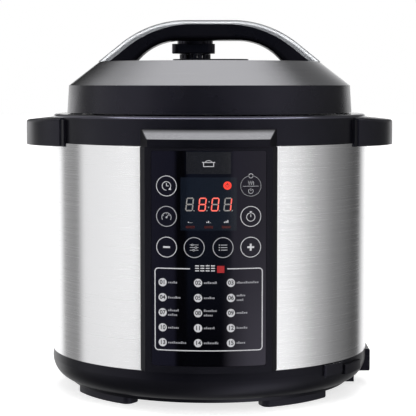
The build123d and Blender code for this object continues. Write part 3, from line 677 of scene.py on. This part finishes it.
def segment(ink, left, ends):
    """One bar of a digit, with pointed ends, leaning like the rest."""
    half = DIGIT_LINE / 2
    width, height = DIGIT_W - DIGIT_LINE, DIGIT_H - DIGIT_LINE
    (u0, v0), (u1, v1) = ends
    start = Vector((u0 * width, v0 * height))
    end = Vector((u1 * width, v1 * height))
    run = (end - start).normalized()
    side = Vector((-run.y, run.x)) * half
    start, end = start + run * DIGIT_GAP, end - run * DIGIT_GAP
    outline = [start, start + run * half - side, end - run * half - side, end,
               end - run * half + side, start + run * half + side]
    base_x, base_z = left + half, DIGIT_Z + half
    ink.polygon([(base_x + p.x + p.y * SLANT, base_z + p.y) for p in outline])


def display():
    """The smoked window with its digits, colon, stops and signs."""
    window = Print()
    window.sheet(*WINDOW_BOX)
    window.make("display_window", WINDOW)
    lit, unlit, dim, icon, label, sign = (Print() for _ in range(6))
    for left, on in DIGITS:
        for name, ends in SEGMENTS.items():
            segment(lit if name in on else unlit, left, ends)
        unlit.disc(left + DIGIT_W + 1.0, DIGIT_Z + STOP_R, STOP_R, 12)
    for level in COLON_LEVELS:
        unlit.disc(COLON_X + level * SLANT, DIGIT_Z + level, COLON_R, 16)
    icon.disc(LAMP_X, LAMP_Z, LAMP_DISC_R)
    half, low, top = LEVEL_LAMP
    for i, middle in enumerate(LEVEL_X):
        dim.sheet(middle - half, middle + half, low, top)
        for bar in range(len(LEVEL_X)):
            x = middle + BAR_X + BAR_STEP * bar
            height = BAR_H + BAR_RISE * bar if bar <= i else BAR_OFF_H
            label.sheet(x, x + BAR_W, BAR_Z, BAR_Z + height)
    sign.ring(LAMP_X, LAMP_Z, SIGN_R, SIGN_R + SIGN_LINE)
    sign.line(LAMP_X, LAMP_Z, LAMP_X, LAMP_Z + SIGN_H, SIGN_STEM)
    lit.make("display_lit", LIT, LAYER)
    unlit.make("display_unlit", UNLIT, LAYER)
    dim.make("display_level_lamps", DIM_RED, LAYER)
    icon.make("display_lamp", LIT_ICON, LAYER)
    label.make("display_level_marks", INK_WHITE, LAYER)
    sign.make("display_lamp_sign", INK_DARK, 2 * LAYER)


# ---------------------------------------------------------------- programme list
FRAME_X, FRAME_TOP, FRAME_LOW = 44.9, 124.0, 55.0
FRAME_LINE, FRAME_CORNER = 0.85, 2.8
HEADER_GAP = 15.5                   # half the opening in the frame's top, where the title stands
DISC_R = 3.45
NUMBER_SIZE, NUMBER_BOLD = 4.9, 0.13
SECOND_LINE = 0.75                  # a name's second line is this much of its first
COLUMNS = (                         # the disc's x, the name's x, and the length of each name
    (-38.5, -34.0, (8.6, 10.8, 9.8, 9.0, 16.4)),
    (-8.8, -4.0, (10.6, 9.6, 10.6, 9.4, 12.8)),
    (18.6, 23.4, (18.4, 7.6, 10.2, 8.8, 7.2)),
)
ROWS = (112.2, 99.5, 86.8, 74.1, 61.5)
TWO_LINES = {(2, 1), (0, 2), (1, 2)}     # (column, row)
LINE_SHIFT = 1.9
BLOCK_W, BLOCK_WIDER = 0.95, 0.25   # the narrowest block, and the step to the next width
BLOCK_SHORT, BLOCK_TALL = 1.3, 1.9
BLOCK_GAP, BLOCK_DROP = 0.35, 0.75
BLOCK_END = 0.9                     # a word stops where less than this is left of its length


def greeked(ink, x, z, length, seed):
    """A stand-in for a word: short upright blocks that spell nothing."""
    at, i = x, seed
    while at < x + length - BLOCK_END:
        width = BLOCK_W + BLOCK_WIDER * (i * 7 % 3)
        height = BLOCK_TALL if i * 5 % 4 == 0 else BLOCK_SHORT
        ink.sheet(at, at + width, z - BLOCK_DROP, z - BLOCK_DROP + height)
        at += width + BLOCK_GAP
        i += 1


def programme_list():
    """The rounded frame, its numbered discs and the stand-ins for their names."""
    ink = Print()
    top, low, edge, r = FRAME_TOP, FRAME_LOW, FRAME_X, FRAME_CORNER
    ink.line(-edge + r, top, -HEADER_GAP, top, FRAME_LINE)
    ink.line(HEADER_GAP, top, edge - r, top, FRAME_LINE)
    ink.line(-edge + r, low, edge - r, low, FRAME_LINE)
    for side in (-1, 1):
        ink.line(side * edge, low + r, side * edge, top - r, FRAME_LINE)
    half = FRAME_LINE / 2
    corners = ((edge - r, top - r), (-edge + r, top - r), (-edge + r, low + r), (edge - r, low + r))
    for i, (x, z) in enumerate(corners):
        ink.ring(x, z, r - half, r + half, 90 * i, 90 * i + 90)
    ink.make("ink_frame", INK_WHITE)
    discs, numbers, words = Print(), Print(), Print()
    for column, (disc_x, word_x, lengths) in enumerate(COLUMNS):
        for row, z in enumerate(ROWS):
            number = row * len(COLUMNS) + column + 1
            discs.disc(disc_x, z, DISC_R)
            numbers.text(f"{number:02d}", disc_x, z, NUMBER_SIZE, NUMBER_BOLD)
            if (column, row) in TWO_LINES:
                greeked(words, word_x, z + LINE_SHIFT, lengths[row], number)
                greeked(words, word_x, z - LINE_SHIFT, lengths[row] * SECOND_LINE, number + 3)
            else:
                greeked(words, word_x, z, lengths[row], number)
    discs.make("ink_discs", INK_WHITE)
    numbers.make("ink_numbers", INK_DARK, LAYER)
    words.make("ink_names", INK_GREY)


TITLE_X, TITLE_STEP, TITLE_W = -11.2, 4.4, 3.2
TITLE_ROWS = ((121.9, 122.8), (124.0, 124.9), (126.1, 127.0))
TITLE_BLOCKS = 4
SQUARE_BOX = (7.1, 13.1, 120.6, 126.5)


def header():
    """A plain mark in place of the list's title, and the small red square beside it."""
    ink = Print()
    for i in range(TITLE_BLOCKS):
        x = TITLE_X + TITLE_STEP * i
        for low, top in TITLE_ROWS:
            ink.sheet(x, x + TITLE_W, low, top)
    ink.make("ink_header", INK_WHITE)
    red = Print()
    red.sheet(*SQUARE_BOX)
    red.make("ink_header_square", INK_RED)


BADGE_BOX = (-18.6, 18.6, 203.0, 221.4)
POT_Z, POT_HALF, POT_LINE = 211.2, 4.2, 0.6
LID_HALF, LID_Z, ARCH_R = 5.4, POT_Z + 1.4, 3.9


def badge():
    """The plain dark plate over the display, with a small outline of a lidded pot."""
    plate = Print()
    plate.sheet(*BADGE_BOX)
    plate.make("badge_plate", BADGE)
    ink = Print()
    low, top = POT_Z - 2.0, POT_Z + 1.2
    ink.line(-POT_HALF, low, POT_HALF, low, POT_LINE)
    ink.line(-POT_HALF, low, -POT_HALF, top, POT_LINE)
    ink.line(POT_HALF, low, POT_HALF, top, POT_LINE)
    ink.line(-LID_HALF, LID_Z, LID_HALF, LID_Z, POT_LINE)
    ink.ring(0, POT_Z - 1.2, ARCH_R, ARCH_R + 0.5, 48, 132)
    ink.make("ink_badge", INK_WHITE, LAYER)


key_prints()
display()
programme_list()
header()
badge()


# ---------------------------------------------------------------- stage, light and camera
FLOOR_HALF = 12.0
FLOOR_GLOW = 0.72


def floor():
    """A pale floor with a little glow of its own, so that it stays near white."""
    half = FLOOR_HALF
    mesh = bpy.data.meshes.new("floor")
    mesh.from_pydata([(-half, -half, 0), (half, -half, 0), (half, half, 0), (-half, half, 0)], [], [(0, 1, 2, 3)])
    shade = Shade("pale_floor", (0.6, 0.6, 0.6), 0.9)
    shade.to("Base Color", shade.mottle(shade.noise(shade.place(), 3.0), 0.59, 0.62))
    shade.shader.inputs["Emission Color"].default_value = (1, 1, 1, 1)
    shade.shader.inputs["Emission Strength"].default_value = FLOOR_GLOW
    mesh.materials.append(shade.material)
    plane = bpy.data.objects.new("floor", mesh)
    scene.collection.objects.link(plane)
    plane.visible_glossy = False


# The room's light, by the sine of the elevation and, in each ring, by the azimuth in degrees: 0 is in front of the
# panel (-Y) and 90 at its right (+X). A stop is (azimuth, grey level) or (azimuth, colour).
LOW_FADE = (-0.19, -0.08)
GROUND_FADE = (-0.42, -0.22)
DEEP_FADE = (-0.66, -0.50)
MIDDLE_FADE = (0.05, 0.15)
HIGH_FADE = (0.68, 0.92)
BOX_LOW, BOX_TOP, BOX_BACK = (0.50, 0.56), (0.68, 0.74), (-0.10, 0.05)   # softbox over the front
BOX_LEVEL = 9.0
LEFT_SIDE = (
    (-180, 1.3), (-137, 1.3), (-129, 0.38), (-109, 0.28), (-102, 1.05), (-52, 1.20), (-44, 0.4),
    (-40, (0.23, 0.24, 0.33)), (-24, (0.20, 0.21, 0.31)), (-22, 0.0), (-16, 0.0),
)
RIGHT_SIDE = ((100, 0.26), (128, 0.09), (138, 0.12), (146, 0.8), (152, 1.1), (180, 1.3))
HORIZON = (
    *LEFT_SIDE, (-14, (0.10, 0.14, 0.22)), (14, (0.12, 0.15, 0.20)), (17, (0.50, 0.49, 0.56)), (42, 0.6),
    (50, 1.12), (66, 0.88), (80, 0.56), *RIGHT_SIDE,
)
BELOW = (
    *LEFT_SIDE, (9, 0.0), (15, 0.54), (27, 1.2), (42, 1.46), (50, 1.3), (66, 1.05), (80, 0.58), *RIGHT_SIDE,
)
GROUND = (
    (-180, 0.4), (-145, 0.4), (-130, 0.2), (-105, 0.2), (-80, 0.35), (-10, 0.38), (12, 0.55), (34, 1.2), (56, 1.2),
    (76, 0.8), (96, 0.4), (115, 0.2), (140, 0.2), (155, 0.4), (180, 0.4),
)
DEEP = (
    (-180, 0.4), (-145, 0.4), (-130, 0.12), (-105, 0.1), (-80, 0.2), (-10, 0.22), (10, 0.7), (30, 2.6), (56, 2.8),
    (76, 1.3), (96, 0.2), (115, 0.06), (140, 0.1), (155, 0.4), (180, 0.4),
)
MIDDLE = (
    (-180, 0.03), (-165, 0.03), (-155, 0.12), (-151.6, 0.25), (-148, 0.50), (-145, 0.64), (-90, 0.6), (-50, 0.8),
    (-12, 0.4), (12, 0.4), (50, 0.8), (90, 0.5), (130, 0.22), (148, 0.14), (158, 0.22), (170, 0.7), (180, 0.7),
)
ZENITH = ((-180, 0.95), (180, 0.95))


def studio():
    """A room of soft panels: rings of light stacked from the ground to the zenith, and a softbox over the front."""
    world = bpy.data.worlds.new("studio")
    scene.world = world
    world.use_nodes = True
    tree = world.node_tree
    nodes, links = tree.nodes, tree.links
    shader, out = nodes["Background"], nodes["World Output"]

    def step(operation, *values):
        return math_node(tree, operation, *values)

    def ring_of(stops):
        made = nodes.new("ShaderNodeValToRGB")
        fill_ramp(made, [(azimuth / 360 + 0.5, level) for azimuth, level in stops])
        links.new(turn, made.inputs["Fac"])
        return made.outputs["Color"]

    def between(value, start, end):
        made = nodes.new("ShaderNodeMapRange")
        made.interpolation_type = "SMOOTHSTEP"
        fill_range(made, start, end, 0.0, 1.0)
        links.new(value, made.inputs["Value"])
        return made.outputs["Result"]

    def blend(factor, a, b):
        made = nodes.new("ShaderNodeMix")
        made.data_type = "RGBA"
        colors = [socket for socket in made.inputs if socket.type == "RGBA"]
        links.new(factor, made.inputs[0])
        links.new(a, colors[0])
        links.new(b, colors[1])
        return next(socket for socket in made.outputs if socket.type == "RGBA")

    direction = nodes.new("ShaderNodeTexCoord").outputs["Generated"]
    parts = nodes.new("ShaderNodeSeparateXYZ")
    links.new(direction, parts.inputs[0])
    x, y, z = parts.outputs
    turn = step("ADD", step("DIVIDE", step("ARCTAN2", x, step("MULTIPLY", y, -1.0)), 2 * math.pi), 0.5)
    room = blend(between(z, *LOW_FADE), ring_of(BELOW), ring_of(HORIZON))
    room = blend(between(z, *GROUND_FADE), ring_of(GROUND), room)
    room = blend(between(z, *DEEP_FADE), ring_of(DEEP), room)
    room = blend(between(z, *MIDDLE_FADE), room, ring_of(MIDDLE))
    room = blend(between(z, *HIGH_FADE), room, ring_of(ZENITH))
    tall = step("MULTIPLY", between(z, *BOX_LOW), step("SUBTRACT", 1.0, between(z, *BOX_TOP)))
    box = step("MULTIPLY", tall, step("SUBTRACT", 1.0, between(y, *BOX_BACK)))
    glow = nodes.new("ShaderNodeVectorMath")
    glow.operation = "SCALE"
    glow.inputs[0].default_value = (1, 1, 1)
    mirrored = nodes.new("ShaderNodeLightPath").outputs["Is Glossy Ray"]
    links.new(step("MULTIPLY", step("MULTIPLY", box, mirrored), BOX_LEVEL), glow.inputs["Scale"])
    total = nodes.new("ShaderNodeVectorMath")
    links.new(room, total.inputs[0])
    links.new(glow.outputs["Vector"], total.inputs[1])
    links.new(total.outputs["Vector"], shader.inputs["Color"])
    white = nodes.new("ShaderNodeBackground")
    white.inputs["Color"].default_value = (1, 1, 1, 1)
    seen = nodes.new("ShaderNodeLightPath")
    pick = nodes.new("ShaderNodeMixShader")
    links.new(seen.outputs["Is Camera Ray"], pick.inputs[0])
    links.new(shader.outputs[0], pick.inputs[1])
    links.new(white.outputs[0], pick.inputs[2])
    links.new(pick.outputs[0], out.inputs["Surface"])


OVERHEAD_AT, OVERHEAD_AIM = (0.0, 0.15, 1.6), (0.0, 0.0, 0.2)
OVERHEAD_SIZE, OVERHEAD_POWER = (1.2, 0.9), 14.0


def overhead_light():
    """A broad lamp above, which gives the soft shadow and isn't seen in reflections."""
    data = bpy.data.lights.new("overhead", "AREA")
    data.shape, data.energy = "RECTANGLE", OVERHEAD_POWER
    data.size, data.size_y = OVERHEAD_SIZE
    light = bpy.data.objects.new("overhead", data)
    light.location = OVERHEAD_AT
    light.rotation_euler = (Vector(OVERHEAD_AIM) - Vector(OVERHEAD_AT)).to_track_quat("-Z", "Y").to_euler()
    light.visible_glossy = False
    scene.collection.objects.link(light)


EYE = (0.0061, -1.3909, 0.2769)     # 1.39 m in front of the axis, a little to its right
LOOK_DOWN, LOOK_LEFT = 4.70, 0.305  # degrees
LENS, SENSOR = 130.0, 36.0          # millimetres
FAR = 100.0


def camera():
    """The eye of the photo: near the front, looking slightly down."""
    data = bpy.data.cameras.new("camera")
    data.sensor_width, data.lens, data.clip_end = SENSOR, LENS, FAR
    eye = bpy.data.objects.new("camera", data)
    eye.location = EYE
    eye.rotation_euler = (math.radians(90 - LOOK_DOWN), 0, math.radians(LOOK_LEFT))
    scene.collection.objects.link(eye)
    scene.camera = eye


floor()
studio()
overhead_light()
camera()
scene.view_settings.view_transform = "Standard"
